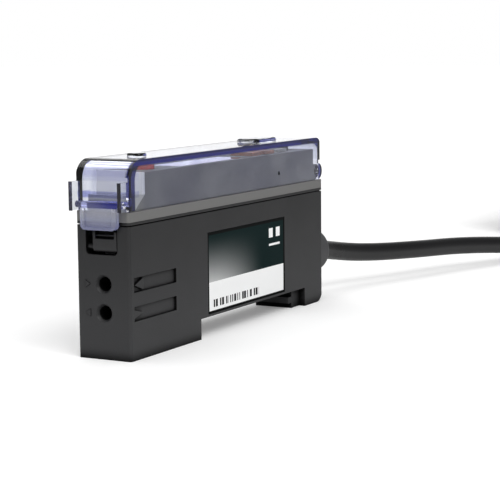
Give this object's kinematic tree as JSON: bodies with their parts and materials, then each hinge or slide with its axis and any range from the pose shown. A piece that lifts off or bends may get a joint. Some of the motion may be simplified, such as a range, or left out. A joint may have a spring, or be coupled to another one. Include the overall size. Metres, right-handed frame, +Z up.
{
  "type": "fibre optic sensor amplifier",
  "caption": "Narrow rail-mounted fibre optic sensor amplifier with fibre ports and lock lever at the front, a hinged clear dust cover over its display and keys, and a cable at the rear.",
  "frame": {"origin": "bottom centre of the amplifier without its cable", "axes": "+X from the fibre face to the cable, +Z up, the label faces -Y"},
  "size_m": [0.2705, 0.0333, 0.0324],
  "materials": {
    "case_black": "fine matte",
    "label_print": "printed film",
    "panel_grey": "fine matte",
    "cover_clear": "clear",
    "lever_black": "fine matte",
    "clamp_grey": "matte",
    "optic_black": "matte",
    "diode_red": "clear",
    "diode_dark": "clear",
    "board_green": "solder mask",
    "chip_black": "matte",
    "display_dark": "matte",
    "window_smoke": "smoked",
    "lens_red": "translucent",
    "guide_milky": "milky",
    "key_brown": "satin",
    "key_grey": "satin",
    "contact_metal": "plain",
    "knob_black": "satin",
    "gland_black": "satin",
    "cable_black": "satin",
    "tie_white": "satin",
    "core_brown": "satin",
    "core_blue": "satin",
    "core_black": "satin",
    "core_white": "satin"
  },
  "bodies": {
    "case": {"housing": "case_black", "label_plate": "label_print", "top_panel": "panel_grey", "optical_block": "optic_black", "emitter_led": "diode_red", "receiver_diode": "diode_dark", "main_board": "board_green", "microcontroller": "chip_black", "output_driver": "chip_black", "display_board": "board_green", "digit_display": "display_dark", "display_window": "window_smoke", "output_indicator": "lens_red", "light_guide": "guide_milky", "plus_contact": "contact_metal", "minus_contact": "contact_metal", "set_contact": "contact_metal", "mode_switch": "contact_metal", "cable_gland": "gland_black", "lead_brown": "core_brown", "lead_blue": "core_blue", "lead_black": "core_black", "lead_white": "core_white", "cable": "cable_black", "cable_coil": "cable_black", "coil_tie": "tie_white", "coil_tie_far": "tie_white", "cable_tail": "cable_black", "core_brown": "core_brown", "core_blue": "core_blue", "core_black": "core_black", "core_white": "core_white"},
    "cover": {"dust_cover": "cover_clear"},
    "lever": {"fibre_lever": "lever_black"},
    "clamp": {"fibre_clamp": "clamp_grey"},
    "plus": {"plus_key": "key_brown"},
    "minus": {"minus_key": "key_brown"},
    "set": {"set_key": "key_grey"},
    "knob": {"mode_knob": "knob_black"}
  },
  "joints": [
    {"name": "cover_hinge", "type": "hinge", "parent": "case", "child": "cover", "pos_m": [0.03045, 0, 0.02525], "axis": [0, 1, 0], "range_deg": [0, 105]},
    {"name": "lever_hinge", "type": "hinge", "parent": "case", "child": "lever", "pos_m": [-0.0351, 0, 0.01795], "axis": [0, -1, 0], "range_deg": [0, 78]},
    {"name": "clamp_slide", "type": "slide", "parent": "case", "child": "clamp", "axis": [0, 0, 1], "range_m": [0, 0.0003]},
    {"name": "plus_press", "type": "slide", "parent": "case", "child": "plus", "axis": [0, 0, -1], "range_m": [0, 0.00025], "stiffness_N_per_m": 150},
    {"name": "minus_press", "type": "slide", "parent": "case", "child": "minus", "axis": [0, 0, -1], "range_m": [0, 0.00025], "stiffness_N_per_m": 150},
    {"name": "set_press", "type": "slide", "parent": "case", "child": "set", "axis": [0, 0, -1], "range_m": [0, 0.00025], "stiffness_N_per_m": 150},
    {"name": "mode_slide", "type": "slide", "parent": "case", "child": "knob", "axis": [1, 0, 0], "range_m": [0, 0.002]}
  ],
  "couplings": [
    {"joint": "lever_hinge", "follows": "clamp_slide", "rad_per_m": 4363}
  ]
}
